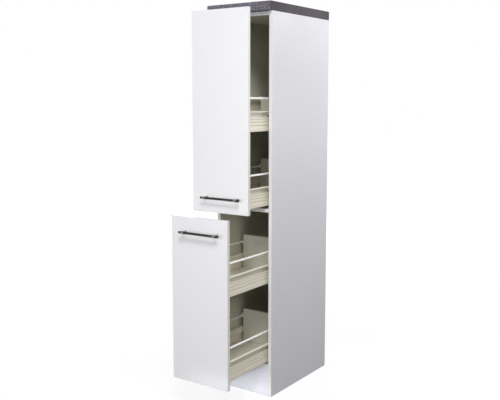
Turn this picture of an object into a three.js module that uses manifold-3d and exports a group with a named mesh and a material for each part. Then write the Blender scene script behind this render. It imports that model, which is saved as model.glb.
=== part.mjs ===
// A pull-out larder unit: a narrow kitchen cabinet with two fronts, one above the other. Each front
// carries two drawers with bent steel sides and round rails, and pulls out on rollers.
// Millimetres, +Z up, +Y towards the wall. The origin is the middle of the plinth board's bottom face.
import * as THREE from 'three';
import { mergeVertices } from 'three/addons/utils/BufferGeometryUtils.js';
import Module from 'manifold-3d';

// ---- Driving dimensions ---------------------------------------------------------------------------
const WIDTH = 300; // over the side panels
const DEPTH = 500; // of the side panels
const CARCASS_HEIGHT = 1730; // of the side panels, which stand on the floor
const BOARD = 16; // thickness of panels, fronts, drawer bases and drawer backs
const CLEARANCE = 0.3; // between pieces that are fitted to each other

const WORKTOP_THICKNESS = 40;
const WORKTOP_FRONT_OVERHANG = 18;
const WORKTOP_LEFT_OVERHANG = 40;
const WORKTOP_NOSE_RADIUS = 4;

const PLINTH_HEIGHT = 134;
const PLINTH_RECESS = 2; // behind the front edges of the side panels
const TOP_PANEL_DROP = 2; // below the tops of the side panels
const BACK_THICKNESS = 3;
const BACK_INSET = 12; // from the side panels' rear edges to the back
const GROOVE_DEPTH = 8;

const FRONT_WIDTH = 297;
const FRONT_GAP = 2; // between the two fronts
const FRONT_PLAY = 2; // from the carcass to the back of a closed front
const FRONT_TOP_PLAY = 1.5; // under the worktop
const FRONTS_MEET = 858.7; // height of the middle of the gap between the fronts
const LOWER_FRONT_BOTTOM = 134.5;
const UPPER_OPEN = 162; // how far each front stands out in the rest position
const LOWER_OPEN = 310;

const DRAWER_LENGTH = 480; // from the back of the front to the rear of the drawer's back
const SIDE_HEIGHT = 88;
const SHEET = 1.2; // steel sheet of the drawer sides and runners
const SIDE_WEB_X = 117.4; // middle of the sheet in the upper, set-in part of a drawer side
const SIDE_BODY_X = 125.4; // middle of the sheet in the lower, ribbed part
const SIDE_FLANGE_X = 129.4; // middle of the sheet in the lip of the top flange
const SIDE_FOOT_X = 113; // inner edge of the flange under the base
const SIDE_GROOVES = [[23.5, 27.5], [38.5, 42.5], [50.5, 54.5]];
const SIDE_GROOVE_DEPTH = 1.5;
const SIDE_GROOVE_SLOPE = 1;
const LEDGE_HEIGHT = 60.4; // where the ribbed part steps in to the web
const LIP_BOTTOM = 83.2;
const BACK_HALF_WIDTH = 113;
// Heights of each drawer's bottom over the floor, and of its back's top over its bottom. The topmost
// drawer has a low back.
const UPPER_DRAWERS = [{ bottom: 1212, backTop: 145 }, { bottom: 881, backTop: 181 }];
const LOWER_DRAWERS = [{ bottom: 525.5, backTop: 178 }, { bottom: 159, backTop: 178 }];

const FRONT_TAB_WIDTH = 14; // of the bent end screwed to the front
const REAR_TAB_WIDTH = 18; // of the bent end screwed to the drawer's back
const TAB_BOTTOM = 20;
const TAB_TOP = 80;

const RAIL_RADIUS = 5;
const RAIL_X = 118;
const RAIL_HEIGHT = 143; // axis of the round rail over the drawer's bottom
const RAIL_SOCKET_RADIUS = 9;
const RAIL_SOCKET_DEPTH = 10;
const RAIL_HOLDER_WIDTH = 10; // of the block that fixes the rail's rear end to the drawer's back
const RAIL_HOLDER_HEIGHT = 21;

const ROLLER_WIDTH = 8;
const ROLLER_X = 120.3; // inner face of each roller
const FRONT_ROLLER_RADIUS = 8;
const REAR_ROLLER_RADIUS = 7.5;
const ROLLER_RIM = 0.8;
const AXLE_RADIUS = 3;
const AXLE_HEAD_RADIUS = 5;
const AXLE_HEAD_THICKNESS = 1.1;
const SPACER_RADIUS = 4.2;
const FRONT_ROLLER_Y = 13; // behind the front edges of the side panels
const REAR_ROLLER_Y = 466; // behind the back of the front

const RUNNER_BOTTOM = 62.6; // channel of the cabinet runner, over the drawer's bottom
const RUNNER_HEIGHT = 18;
const RUNNER_START = 26; // of the channel, behind the front edges of the side panels
const RUNNER_EAR_START = 3; // of the plate in front of the channel that holds the front axle
const RUNNER_EAR_TOP = 84;
const RUNNER_END = 480;
const RUNNER_INNER_X = 121.3; // free edges of the channel's flanges

const HANDLE_LENGTH = 208;
const HANDLE_OFFSET = 14; // of its middle from the middle of the front, to the right
const HANDLE_RADIUS = 5;
const HANDLE_END_ROUND = 1.5;
const HANDLE_STANDOFF = 24; // from the front to the bar's axis
const HANDLE_POST_SPACING = 168;
const HANDLE_POST_RADIUS = 4;
const HANDLE_COLLAR_RADIUS = 6.3; // of the rings that hold the bar to its posts
const HANDLE_COLLAR_WIDTH = 12;
const HANDLE_FOOT_RADIUS = 6;
const HANDLE_FOOT_HEIGHT = 3;
const HANDLE_FROM_EDGE = 65; // from the edge of the front that faces the other front

const ROUND_SIDES = 16; // facets of rollers, rails and handles
const AXLE_SIDES = 10;

// ---- Materials ------------------------------------------------------------------------------------
function finish(color, roughness, metalness = 0) {
  return new THREE.MeshStandardMaterial({ color, roughness, metalness });
}
const carcassWhite = finish(0xe9e8e6, 0.55);
const frontWhite = finish(0xf4f4f2, 0.35);
const stoneLaminate = finish(0x7d7880, 0.5);
const creamSteel = finish(0xe8e2d0, 0.4, 0.1);
const whiteRail = finish(0xf6f5f0, 0.3);
const drawerBoard = finish(0xb9b7ab, 0.6);
const rollerNylon = finish(0xf2f1ec, 0.45);
const darkSteel = finish(0x5a5a5c, 0.35, 0.9);

// ---- Solids ---------------------------------------------------------------------------------------
const wasm = await Module();
wasm.setup();

function toManifold(geometry) {
  const bare = geometry.clone();
  bare.deleteAttribute('normal');
  bare.deleteAttribute('uv');
  const merged = mergeVertices(bare, 1e-4);
  return new wasm.Manifold(new wasm.Mesh({
    numProp: 3,
    vertProperties: new Float32Array(merged.attributes.position.array),
    triVerts: new Uint32Array(merged.index.array),
  }));
}

function toGeometry(manifold) {
  const mesh = manifold.getMesh();
  const geometry = new THREE.BufferGeometry();
  geometry.setAttribute('position', new THREE.BufferAttribute(new Float32Array(mesh.vertProperties), 3));
  geometry.setIndex(new THREE.BufferAttribute(new Uint32Array(mesh.triVerts), 1));
  geometry.computeVertexNormals();
  return geometry;
}

// Joins geometries that overlap into one solid.
function join(...geometries) {
  return toGeometry(geometries.map(toManifold).reduce((whole, piece) => whole.add(piece)));
}

// A box given by its lowest and highest corner.
function box(x0, x1, y0, y1, z0, z1) {
  const geometry = new THREE.BoxGeometry(x1 - x0, y1 - y0, z1 - z0);
  return geometry.translate((x0 + x1) / 2, (y0 + y1) / 2, (z0 + z1) / 2);
}

// An outline in X and Z, drawn out from y0 to y1.
function alongY(outline, y0, y1) {
  const settings = { depth: y1 - y0, bevelEnabled: false };
  const geometry = new THREE.ExtrudeGeometry(new THREE.Shape(outline), settings);
  return geometry.rotateX(Math.PI / 2).translate(0, y1, 0);
}

// An outline in X and Y, drawn out from z0 to z1.
function alongZ(outline, z0, z1) {
  const settings = { depth: z1 - z0, bevelEnabled: false };
  const geometry = new THREE.ExtrudeGeometry(new THREE.Shape(outline), settings);
  return geometry.translate(0, 0, z0);
}

function cylinderX(radius, x0, x1, y, z, sides = ROUND_SIDES) {
  const geometry = new THREE.CylinderGeometry(radius, radius, Math.abs(x1 - x0), sides);
  return geometry.rotateZ(Math.PI / 2).translate((x0 + x1) / 2, y, z);
}

function cylinderY(radius, x, y0, y1, z) {
  const geometry = new THREE.CylinderGeometry(radius, radius, y1 - y0, ROUND_SIDES);
  return geometry.translate(x, (y0 + y1) / 2, z);
}

// A profile of radii and places along the axis, turned round an axis that lies along X.
function turnedX(profile, x, y, z) {
  const points = profile.map(([radius, along]) => new THREE.Vector2(radius, along));
  return new THREE.LatheGeometry(points, ROUND_SIDES).rotateZ(-Math.PI / 2).translate(x, y, z);
}

// The closed outline of a bent sheet: its middle line, widened by half the thickness to each side.
function sheetOutline(middle, thickness) {
  const near = [];
  const far = [];
  middle.forEach((point, i) => {
    const arriving = i > 0 ? point.clone().sub(middle[i - 1]).normalize() : null;
    const leaving = i < middle.length - 1 ? middle[i + 1].clone().sub(point).normalize() : null;
    const before = arriving ?? leaving;
    const after = leaving ?? arriving;
    const normal = new THREE.Vector2(-before.y, before.x);
    const mitre = normal.clone().add(new THREE.Vector2(-after.y, after.x)).normalize();
    mitre.multiplyScalar(thickness / 2 / mitre.dot(normal));
    near.push(point.clone().add(mitre));
    far.push(point.clone().sub(mitre));
  });
  return [...near, ...far.reverse()];
}

// ---- Pieces ---------------------------------------------------------------------------------------
// Pieces that come in pairs take hand: 1 for the right one and -1 for the left one.
const HANDS = { left: -1, right: 1 };
const INNER_X = WIDTH / 2 - BOARD; // inner faces of the side panels
const GROOVE_FRONT = DEPTH - BACK_INSET - BACK_THICKNESS - CLEARANCE;
const GROOVE_REAR = DEPTH - BACK_INSET + CLEARANCE;
const FRONT_ROLLER_Z = SIDE_HEIGHT - SHEET - CLEARANCE - FRONT_ROLLER_RADIUS; // under the top flange
const REAR_ROLLER_Z = RUNNER_BOTTOM + RUNNER_HEIGHT / 2;
const BASE_BOTTOM = SHEET + CLEARANCE;
const BASE_TOP = BASE_BOTTOM + BOARD;

function named(name, geometry, material) {
  const mesh = new THREE.Mesh(geometry, material);
  mesh.name = name;
  return mesh;
}

// Places a box by its smaller and larger distance from the middle of the unit, on one side of it.
function sidedBox(hand, inner, outer, y0, y1, z0, z1) {
  const xs = [inner * hand, outer * hand].sort((a, b) => a - b);
  return box(xs[0], xs[1], y0, y1, z0, z1);
}

// Stands on the floor; a groove near its rear edge holds the back.
function sidePanel(hand) {
  const outer = WIDTH / 2;
  const outline = [
    [INNER_X, 0],
    [outer, 0],
    [outer, DEPTH],
    [INNER_X, DEPTH],
    [INNER_X, GROOVE_REAR],
    [INNER_X + GROOVE_DEPTH, GROOVE_REAR],
    [INNER_X + GROOVE_DEPTH, GROOVE_FRONT],
    [INNER_X, GROOVE_FRONT],
  ];
  return alongZ(outline.map(([x, y]) => new THREE.Vector2(x * hand, y)), 0, CARCASS_HEIGHT);
}

// A panel between the side panels, by the height of its underside.
function shelf(z) {
  const halfWidth = INNER_X - CLEARANCE;
  return box(-halfWidth, halfWidth, 0, GROOVE_FRONT - CLEARANCE, z, z + BOARD);
}

function backPanel() {
  const halfWidth = INNER_X + GROOVE_DEPTH - CLEARANCE;
  const rear = DEPTH - BACK_INSET;
  const top = CARCASS_HEIGHT - TOP_PANEL_DROP;
  return box(-halfWidth, halfWidth, rear - BACK_THICKNESS, rear, PLINTH_HEIGHT, top);
}

function plinthBoard() {
  const halfWidth = INNER_X - CLEARANCE;
  return box(-halfWidth, halfWidth, PLINTH_RECESS, PLINTH_RECESS + BOARD, 0, PLINTH_HEIGHT - CLEARANCE);
}

// Its front edge is rounded over at the top.
function worktop() {
  const bottom = CARCASS_HEIGHT + CLEARANCE;
  const top = bottom + WORKTOP_THICKNESS;
  const nose = WORKTOP_NOSE_RADIUS;
  const outline = new THREE.Shape();
  outline.moveTo(DEPTH, bottom);
  outline.lineTo(DEPTH, top);
  outline.lineTo(nose - WORKTOP_FRONT_OVERHANG, top);
  outline.absarc(nose - WORKTOP_FRONT_OVERHANG, top - nose, nose, Math.PI / 2, Math.PI, false);
  outline.lineTo(-WORKTOP_FRONT_OVERHANG, bottom);
  const length = WIDTH + WORKTOP_LEFT_OVERHANG;
  const settings = { depth: length, bevelEnabled: false, curveSegments: 5 };
  const geometry = new THREE.ExtrudeGeometry(outline, settings);
  const turn = new THREE.Matrix4().makeBasis(
    new THREE.Vector3(0, 1, 0),
    new THREE.Vector3(0, 0, 1),
    new THREE.Vector3(1, 0, 0),
  );
  return geometry.applyMatrix4(turn).translate(-length + WIDTH / 2, 0, 0);
}

// A roller's axle: a spacer from its root to the roller's near face, and a head past the far face.
function axleWithHead(hand, root, nearFace, farFace, y, z) {
  const end = farFace + Math.sign(farFace - root) * AXLE_HEAD_THICKNESS;
  return [
    cylinderX(SPACER_RADIUS, root * hand, nearFace * hand, y, z, AXLE_SIDES),
    cylinderX(AXLE_RADIUS, root * hand, end * hand, y, z, AXLE_SIDES),
    cylinderX(AXLE_HEAD_RADIUS, farFace * hand, end * hand, y, z, AXLE_SIDES),
  ];
}

// A ring that turns on an axle, with its rims broken.
function roller(hand, radius, y, z) {
  const half = ROLLER_WIDTH / 2;
  const bore = AXLE_RADIUS + CLEARANCE;
  const profile = [
    [bore, -half],
    [radius - ROLLER_RIM, -half],
    [radius, ROLLER_RIM - half],
    [radius, half - ROLLER_RIM],
    [radius - ROLLER_RIM, half],
    [bore, half],
    [bore, -half],
  ];
  return turnedX(profile, (ROLLER_X + half) * hand, y, z);
}

// A channel on the side panel that the drawer's rear roller runs in, with the front roller's axle.
// Heights count from the drawer's bottom.
function cabinetRunner(hand) {
  const webX = INNER_X - CLEARANCE - SHEET / 2;
  const low = RUNNER_BOTTOM + SHEET / 2;
  const high = RUNNER_BOTTOM + RUNNER_HEIGHT - SHEET / 2;
  const middle = [[RUNNER_INNER_X, low], [webX, low], [webX, high], [RUNNER_INNER_X, high]];
  const channel = sheetOutline(middle.map(([x, z]) => new THREE.Vector2(x * hand, z)), SHEET);
  const ear = sidedBox(
    hand, webX - SHEET / 2, webX + SHEET / 2,
    RUNNER_EAR_START, RUNNER_START + SHEET, RUNNER_BOTTOM, RUNNER_EAR_TOP,
  );
  const axle = axleWithHead(
    hand, webX, ROLLER_X + ROLLER_WIDTH + CLEARANCE, ROLLER_X - CLEARANCE, FRONT_ROLLER_Y, FRONT_ROLLER_Z,
  );
  return join(alongY(channel, RUNNER_START, RUNNER_END), ear, ...axle);
}

// The drawer side's section: a flange under the base, a body with two beads between three grooves,
// a ledge, a web set in for the rollers, and a flange with a lip over them.
function drawerSideOutline(hand) {
  const grooveX = SIDE_BODY_X - SIDE_GROOVE_DEPTH;
  const middle = [
    [SIDE_FOOT_X, SHEET / 2],
    [SIDE_BODY_X, SHEET / 2],
    ...SIDE_GROOVES.flatMap(([low, high]) => [
      [SIDE_BODY_X, low],
      [grooveX, low + SIDE_GROOVE_SLOPE],
      [grooveX, high - SIDE_GROOVE_SLOPE],
      [SIDE_BODY_X, high],
    ]),
    [SIDE_BODY_X, LEDGE_HEIGHT],
    [SIDE_WEB_X, LEDGE_HEIGHT],
    [SIDE_WEB_X, SIDE_HEIGHT - SHEET / 2],
    [SIDE_FLANGE_X, SIDE_HEIGHT - SHEET / 2],
    [SIDE_FLANGE_X, LIP_BOTTOM],
  ];
  return sheetOutline(middle.map(([x, z]) => new THREE.Vector2(x * hand, z)), SHEET);
}

// A drawer side with its bent ends and the rear roller's axle.
function drawerSide(hand) {
  const front = CLEARANCE;
  const rear = DRAWER_LENGTH + CLEARANCE + SHEET;
  const webOuter = SIDE_WEB_X + SHEET / 2;
  const frontTab = sidedBox(
    hand, webOuter - FRONT_TAB_WIDTH, webOuter, front, front + SHEET, TAB_BOTTOM, TAB_TOP,
  );
  const rearTab = sidedBox(
    hand, webOuter - REAR_TAB_WIDTH, webOuter, rear - SHEET, rear, TAB_BOTTOM, TAB_TOP,
  );
  const axle = axleWithHead(
    hand, SIDE_WEB_X, ROLLER_X - CLEARANCE, ROLLER_X + ROLLER_WIDTH + CLEARANCE, REAR_ROLLER_Y, REAR_ROLLER_Z,
  );
  return join(alongY(drawerSideOutline(hand), front, rear), frontTab, rearTab, ...axle);
}

function drawerBase() {
  const halfWidth = SIDE_BODY_X - SHEET / 2 - CLEARANCE;
  return box(-halfWidth, halfWidth, CLEARANCE + SHEET + CLEARANCE, DRAWER_LENGTH, BASE_BOTTOM, BASE_TOP);
}

// Stands on the base.
function drawerBack(top) {
  const front = DRAWER_LENGTH - BOARD;
  return box(-BACK_HALF_WIDTH, BACK_HALF_WIDTH, front, DRAWER_LENGTH, BASE_TOP + CLEARANCE, top);
}

// A round rail over a drawer side, from a socket on the front to a holder beside the drawer's back.
function drawerRail(hand) {
  const holderFront = DRAWER_LENGTH - BOARD;
  const x = RAIL_X * hand;
  return join(
    cylinderY(RAIL_RADIUS, x, CLEARANCE, holderFront + RAIL_RADIUS, RAIL_HEIGHT),
    cylinderY(RAIL_SOCKET_RADIUS, x, CLEARANCE, RAIL_SOCKET_DEPTH, RAIL_HEIGHT),
    sidedBox(
      hand, BACK_HALF_WIDTH + CLEARANCE, BACK_HALF_WIDTH + CLEARANCE + RAIL_HOLDER_WIDTH,
      holderFront, DRAWER_LENGTH, RAIL_HEIGHT - RAIL_HOLDER_HEIGHT / 2, RAIL_HEIGHT + RAIL_HOLDER_HEIGHT / 2,
    ),
  );
}

function front(bottom, top) {
  return box(-FRONT_WIDTH / 2, FRONT_WIDTH / 2, -BOARD, 0, bottom, top);
}

// A bar with rounded ends, held by two posts with a ring round the bar and a foot on the front.
function handle(z) {
  const faceY = -BOARD - CLEARANCE;
  const axisY = -BOARD - HANDLE_STANDOFF;
  const half = HANDLE_LENGTH / 2;
  const profile = [
    [0, -half],
    [HANDLE_RADIUS - HANDLE_END_ROUND, -half],
    [HANDLE_RADIUS, HANDLE_END_ROUND - half],
    [HANDLE_RADIUS, half - HANDLE_END_ROUND],
    [HANDLE_RADIUS - HANDLE_END_ROUND, half],
    [0, half],
  ];
  const posts = [-1, 1].flatMap((side) => {
    const x = HANDLE_OFFSET + (side * HANDLE_POST_SPACING) / 2;
    return [
      cylinderX(HANDLE_COLLAR_RADIUS, x - HANDLE_COLLAR_WIDTH / 2, x + HANDLE_COLLAR_WIDTH / 2, axisY, z),
      cylinderY(HANDLE_POST_RADIUS, x, axisY, faceY, z),
      cylinderY(HANDLE_FOOT_RADIUS, x, faceY - HANDLE_FOOT_HEIGHT, faceY, z),
    ];
  });
  return join(turnedX(profile, HANDLE_OFFSET, axisY, z), ...posts);
}

// ---- Assembly -------------------------------------------------------------------------------------
// Counted from the middle of the plinth's bottom face, the carcass starts a little further out.
const unit = new THREE.Group();
unit.position.y = -(PLINTH_RECESS + BOARD / 2);

function addCarcass() {
  unit.add(
    named('side_panel_left', sidePanel(HANDS.left), carcassWhite),
    named('side_panel_right', sidePanel(HANDS.right), carcassWhite),
    named('bottom_panel', shelf(PLINTH_HEIGHT), carcassWhite),
    named('middle_shelf', shelf(FRONTS_MEET - BOARD / 2), carcassWhite),
    named('top_panel', shelf(CARCASS_HEIGHT - TOP_PANEL_DROP - BOARD), carcassWhite),
    named('back_panel', backPanel(), carcassWhite),
    named('plinth_board', plinthBoard(), carcassWhite),
    named('worktop', worktop(), stoneLaminate),
  );
}

// The cabinet's own runners and front rollers, one of each on both sides of every drawer.
function addRunners() {
  [...UPPER_DRAWERS, ...LOWER_DRAWERS].forEach(({ bottom }, i) => {
    Object.entries(HANDS).forEach(([side, hand]) => {
      const runner = named(`cabinet_runner_${i + 1}_${side}`, cabinetRunner(hand), creamSteel);
      const ring = roller(hand, FRONT_ROLLER_RADIUS, FRONT_ROLLER_Y, FRONT_ROLLER_Z);
      const wheel = named(`front_roller_${i + 1}_${side}`, ring, rollerNylon);
      runner.position.z = bottom;
      wheel.position.z = bottom;
      unit.add(runner, wheel);
    });
  });
}

function drawer(number, { bottom, backTop }) {
  const group = new THREE.Group();
  group.position.z = bottom;
  group.add(
    named(`drawer_${number}_base`, drawerBase(), drawerBoard),
    named(`drawer_${number}_back`, drawerBack(backTop), drawerBoard),
  );
  Object.entries(HANDS).forEach(([side, hand]) => {
    const ring = roller(hand, REAR_ROLLER_RADIUS, REAR_ROLLER_Y, REAR_ROLLER_Z);
    group.add(
      named(`drawer_${number}_side_${side}`, drawerSide(hand), creamSteel),
      named(`drawer_${number}_rail_${side}`, drawerRail(hand), whiteRail),
      named(`rear_roller_${number}_${side}`, ring, rollerNylon),
    );
  });
  return group;
}

// A front with its handle and the drawers behind it, standing out by the given distance.
function addPullOut(name, firstDrawer, drawers, bottom, top, handleZ, open) {
  const pullOut = new THREE.Group();
  pullOut.position.y = -FRONT_PLAY - open;
  pullOut.add(
    named(`${name}_front`, front(bottom, top), frontWhite),
    named(`${name}_handle`, handle(handleZ), darkSteel),
    ...drawers.map((heights, i) => drawer(firstDrawer + i, heights)),
  );
  unit.add(pullOut);
}

addCarcass();
addRunners();
const upperFrontBottom = FRONTS_MEET + FRONT_GAP / 2;
const lowerFrontTop = FRONTS_MEET - FRONT_GAP / 2;
addPullOut(
  'upper', 1, UPPER_DRAWERS, upperFrontBottom, CARCASS_HEIGHT - FRONT_TOP_PLAY,
  upperFrontBottom + HANDLE_FROM_EDGE, UPPER_OPEN,
);
addPullOut(
  'lower', 1 + UPPER_DRAWERS.length, LOWER_DRAWERS, LOWER_FRONT_BOTTOM, lowerFrontTop,
  lowerFrontTop - HANDLE_FROM_EDGE, LOWER_OPEN,
);

const larder = new THREE.Group();
larder.add(unit);
export default larder;
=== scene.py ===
# %% [markdown]
# # A pull-out larder unit
# A tall, narrow kitchen cabinet, 300 mm wide, that stands at the end of a row of units.
# Two white fronts pull straight out of it, one above the other, and each carries two
# drawers of bent steel with a round white rail over each side. The sizes, the joints and
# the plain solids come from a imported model, which is loaded first and is never moved.
# This lesson dresses it: it gives every board and sheet its finish, and swaps the small
# metal and plastic parts for finer ones in the same places.

import math

import bmesh
import bpy
from mathutils import Matrix, Vector


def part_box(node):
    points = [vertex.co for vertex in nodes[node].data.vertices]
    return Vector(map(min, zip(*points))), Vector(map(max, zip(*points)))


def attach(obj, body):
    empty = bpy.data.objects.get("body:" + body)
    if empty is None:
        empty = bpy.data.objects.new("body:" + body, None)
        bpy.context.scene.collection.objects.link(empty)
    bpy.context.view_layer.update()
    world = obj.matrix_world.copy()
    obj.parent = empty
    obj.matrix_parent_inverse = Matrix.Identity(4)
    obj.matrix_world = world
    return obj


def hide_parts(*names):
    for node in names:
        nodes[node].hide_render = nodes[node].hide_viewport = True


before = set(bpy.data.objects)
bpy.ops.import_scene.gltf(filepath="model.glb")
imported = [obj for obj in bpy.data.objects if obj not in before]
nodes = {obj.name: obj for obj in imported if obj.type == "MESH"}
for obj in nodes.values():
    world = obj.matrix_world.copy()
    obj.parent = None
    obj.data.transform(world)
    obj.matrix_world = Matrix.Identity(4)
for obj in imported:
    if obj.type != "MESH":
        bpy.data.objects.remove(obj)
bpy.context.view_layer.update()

# %% [markdown]
# ## The camera
# The picture was taken from the front, to the right of the unit, at about chest height,
# and it looks a little down. The tilt and the middle of the image were chosen, because
# the corners of the cabinet don't settle them. With these held, the place, the turn and
# the lens were fitted to the corners, so that the boards' edges fall within a pixel or so
# of the picture, and within 3.4 at the worst. Other tilts, with other sizes of the unit,
# would fit about as well. A shift of the lens could do a part of the tilting, but it
# would cut the top off in the other views, so it stays small.

# %% Camera
CAMERA_PLACE = (1.9220, -2.7199, 1.3511)
CAMERA_TILT = math.radians(83.0)
CAMERA_TURN = math.radians(34.88)
FOCAL_LENGTH = 53.19
LENS_SHIFT = -0.02

lens = bpy.data.cameras.new("camera")
lens.sensor_width = 36.0
lens.lens = FOCAL_LENGTH
lens.shift_y = LENS_SHIFT
camera = bpy.data.objects.new("camera", lens)
camera.location = CAMERA_PLACE
camera.rotation_euler = (CAMERA_TILT, 0.0, CAMERA_TURN)
bpy.context.scene.collection.objects.link(camera)
bpy.context.scene.camera = camera
print("camera stands", round(Vector(CAMERA_PLACE).length, 2), "m from the plinth")

# %% [markdown]
# ## Nodes in one line
# A material is a small graph of nodes. This helper adds one node and fills its sockets,
# either with a value or with the output of another node, so each finish below reads
# like a recipe. Colours are written as a painter reads them off a card, from 0 to 255,
# and are turned into the linear numbers that the shader counts with.


# %% Helpers for nodes and colours
MIX_FACTOR, MIX_FIRST, MIX_SECOND, MIX_RESULT = 0, 6, 7, 2


def feed(tree, socket, value):
    if isinstance(value, bpy.types.NodeSocket):
        tree.links.new(value, socket)
    else:
        socket.default_value = value


def place(tree, kind, sockets=None, **settings):
    made = tree.nodes.new("ShaderNode" + kind)
    for setting, value in settings.items():
        setattr(made, setting, value)
    for socket, value in (sockets or {}).items():
        feed(tree, made.inputs[socket], value)
    return made


def linear(channel):
    share = channel / 255
    return share / 12.92 if share <= 0.04045 else ((share + 0.055) / 1.055) ** 2.4


def colour(red, green, blue):
    return (linear(red), linear(green), linear(blue), 1.0)


def mixed(tree, factor, first, second):
    mix = tree.nodes.new("ShaderNodeMix")
    mix.data_type = "RGBA"
    feed(tree, mix.inputs[MIX_FACTOR], factor)
    feed(tree, mix.inputs[MIX_FIRST], first)
    feed(tree, mix.inputs[MIX_SECOND], second)
    return mix.outputs[MIX_RESULT]


def ranged(tree, value, from_low, from_high, to_low, to_high):
    sockets = {"Value": value, "From Min": from_low, "From Max": from_high}
    sockets.update({"To Min": to_low, "To Max": to_high})
    return place(tree, "MapRange", sockets).outputs["Result"]


def arithmetic(tree, operation, first, second=0.0):
    node = tree.nodes.new("ShaderNodeMath")
    node.operation = operation
    feed(tree, node.inputs[0], first)
    feed(tree, node.inputs[1], second)
    return node.outputs[0]


def times(tree, first, second):
    return arithmetic(tree, "MULTIPLY", first, second)


# %% [markdown]
# ## Floor and background
# The unit was photographed cut out on white. A white floor that is only painted white
# would come out grey where less light reaches it, and pouring more light on it would
# bleach the white boards. So the floor and the sky show as white to the camera, and to
# mirrors, while they light the unit no more than a pale studio would. The floor also
# keeps a part of its own shading, and with it the soft shadow under the unit. Far away,
# where the lamps no longer reach it, it glows a little more, so that no grey band shows.

# %% Floor and sky
FLOOR_SIZE = 40.0
FLOOR_DROP = 0.0008
GLOW_DISTANCES = (1.0, 5.0)
GLOW_STRENGTHS = (0.86, 1.0)

scene = bpy.context.scene
scene.view_settings.view_transform = "Standard"


def seen_directly(tree):
    ray = place(tree, "LightPath").outputs
    mirrored = arithmetic(tree, "MAXIMUM", ray["Is Glossy Ray"], ray["Is Transmission Ray"])
    return arithmetic(tree, "MAXIMUM", ray["Is Camera Ray"], mirrored)


def make_floor():
    bm = bmesh.new()
    bmesh.ops.create_grid(bm, x_segments=1, y_segments=1, size=FLOOR_SIZE / 2)
    mesh = bpy.data.meshes.new("floor")
    bm.to_mesh(mesh)
    bm.free()
    floor = bpy.data.objects.new("floor", mesh)
    floor.location.z = -FLOOR_DROP
    scene.collection.objects.link(floor)
    material = bpy.data.materials.new("floor white")
    material.use_nodes = True
    tree = material.node_tree
    surface = tree.nodes["Principled BSDF"]
    surface.inputs["Base Color"].default_value = colour(105, 105, 108)
    surface.inputs["Roughness"].default_value = 0.9
    surface.inputs["Specular IOR Level"].default_value = 0.1
    spot = place(tree, "TexCoord").outputs["Object"]
    far = place(tree, "VectorMath", {0: spot}, operation="LENGTH").outputs["Value"]
    strength = ranged(tree, far, *GLOW_DISTANCES, *GLOW_STRENGTHS)
    glow = place(tree, "Emission", {"Color": (1.0, 1.0, 1.0, 1.0), "Strength": strength})
    shown = place(tree, "AddShader")
    tree.links.new(surface.outputs[0], shown.inputs[0])
    tree.links.new(glow.outputs[0], shown.inputs[1])
    choice = place(tree, "MixShader", {"Fac": seen_directly(tree)})
    tree.links.new(surface.outputs[0], choice.inputs[1])
    tree.links.new(shown.outputs[0], choice.inputs[2])
    tree.links.new(choice.outputs[0], tree.nodes["Material Output"].inputs["Surface"])
    mesh.materials.append(material)
    return floor


def make_sky(tint, strength):
    world = bpy.data.worlds.new("studio")
    scene.world = world
    world.use_nodes = True
    tree = world.node_tree
    tree.nodes.clear()
    lighting = place(tree, "Background", {"Color": tint, "Strength": strength})
    backdrop = place(tree, "Background", {"Color": (1.0, 1.0, 1.0, 1.0), "Strength": 1.0})
    choice = place(tree, "MixShader", {"Fac": seen_directly(tree)})
    tree.links.new(lighting.outputs[0], choice.inputs[1])
    tree.links.new(backdrop.outputs[0], choice.inputs[2])
    tree.links.new(choice.outputs[0], place(tree, "OutputWorld").inputs["Surface"])


SKY_STRENGTH = 0.03
floor = make_floor()
make_sky((0.93, 0.95, 1.0, 1.0), SKY_STRENGTH)
print("floor", FLOOR_SIZE, "m wide, sky strength", SKY_STRENGTH)

# %% [markdown]
# ## Lamps
# The light is that of a plain studio. A large soft box stands in front. A second one,
# high up to the right, reaches into the opened drawers and shades the cabinet's side
# from light at the top to grey at the foot. Two weaker boxes on the right fill the
# shadows, two light the rear half of that side, one each the left side and the back, and
# a small one the plinth.

# %% Lamps
WHITE_LIGHT = (1.0, 1.0, 1.0)
VIOLET_LIGHT = (0.97, 0.96, 1.0)
ALL_ROUND, NARROW = 180, 10

# Each lamp: its place, the point it looks at, its size, watts, tint and spread.
LAMPS = {
    "front_box": ((-0.15, -3.2, 1.2), (0.0, -0.2, 0.8), (2.6, 1.6), 43.0, WHITE_LIGHT, ALL_ROUND),
    "high_box": ((2.1, -2.7, 4.4), (0.05, 0.0, 0.9), (1.2, 1.2), 135.0, WHITE_LIGHT, ALL_ROUND),
    "camera_box": ((2.4, -3.2, 2.7), (0.1, -0.1, 0.9), (1.0, 1.0), 11.0, WHITE_LIGHT, ALL_ROUND),
    "near_right_box": ((1.6, -1.0, 1.3), (0.0, 0.0, 0.7), (0.4, 0.4), 5.8, WHITE_LIGHT, ALL_ROUND),
    "side_box": ((1.6, 1.5, 1.25), (0.15, 0.25, 1.1), (0.6, 0.6), 8.2, WHITE_LIGHT, ALL_ROUND),
    "upper_side_box": ((0.9, 1.1, 1.9), (0.15, 0.3, 1.3), (0.5, 0.5), 5.7, WHITE_LIGHT, ALL_ROUND),
    "foot_box": ((0.3, -2.4, 0.05), (0.05, -0.01, -0.02), (0.2, 0.2), 0.18, VIOLET_LIGHT, NARROW),
    "left_box": ((-2.6, -0.1, 1.5), (0.0, 0.0, 0.9), (1.0, 1.0), 22.0, WHITE_LIGHT, ALL_ROUND),
    "back_box": ((-2.6, 4.2, 2.0), (0.0, 0.3, 0.9), (2.4, 2.4), 80.0, WHITE_LIGHT, ALL_ROUND),
}


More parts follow.
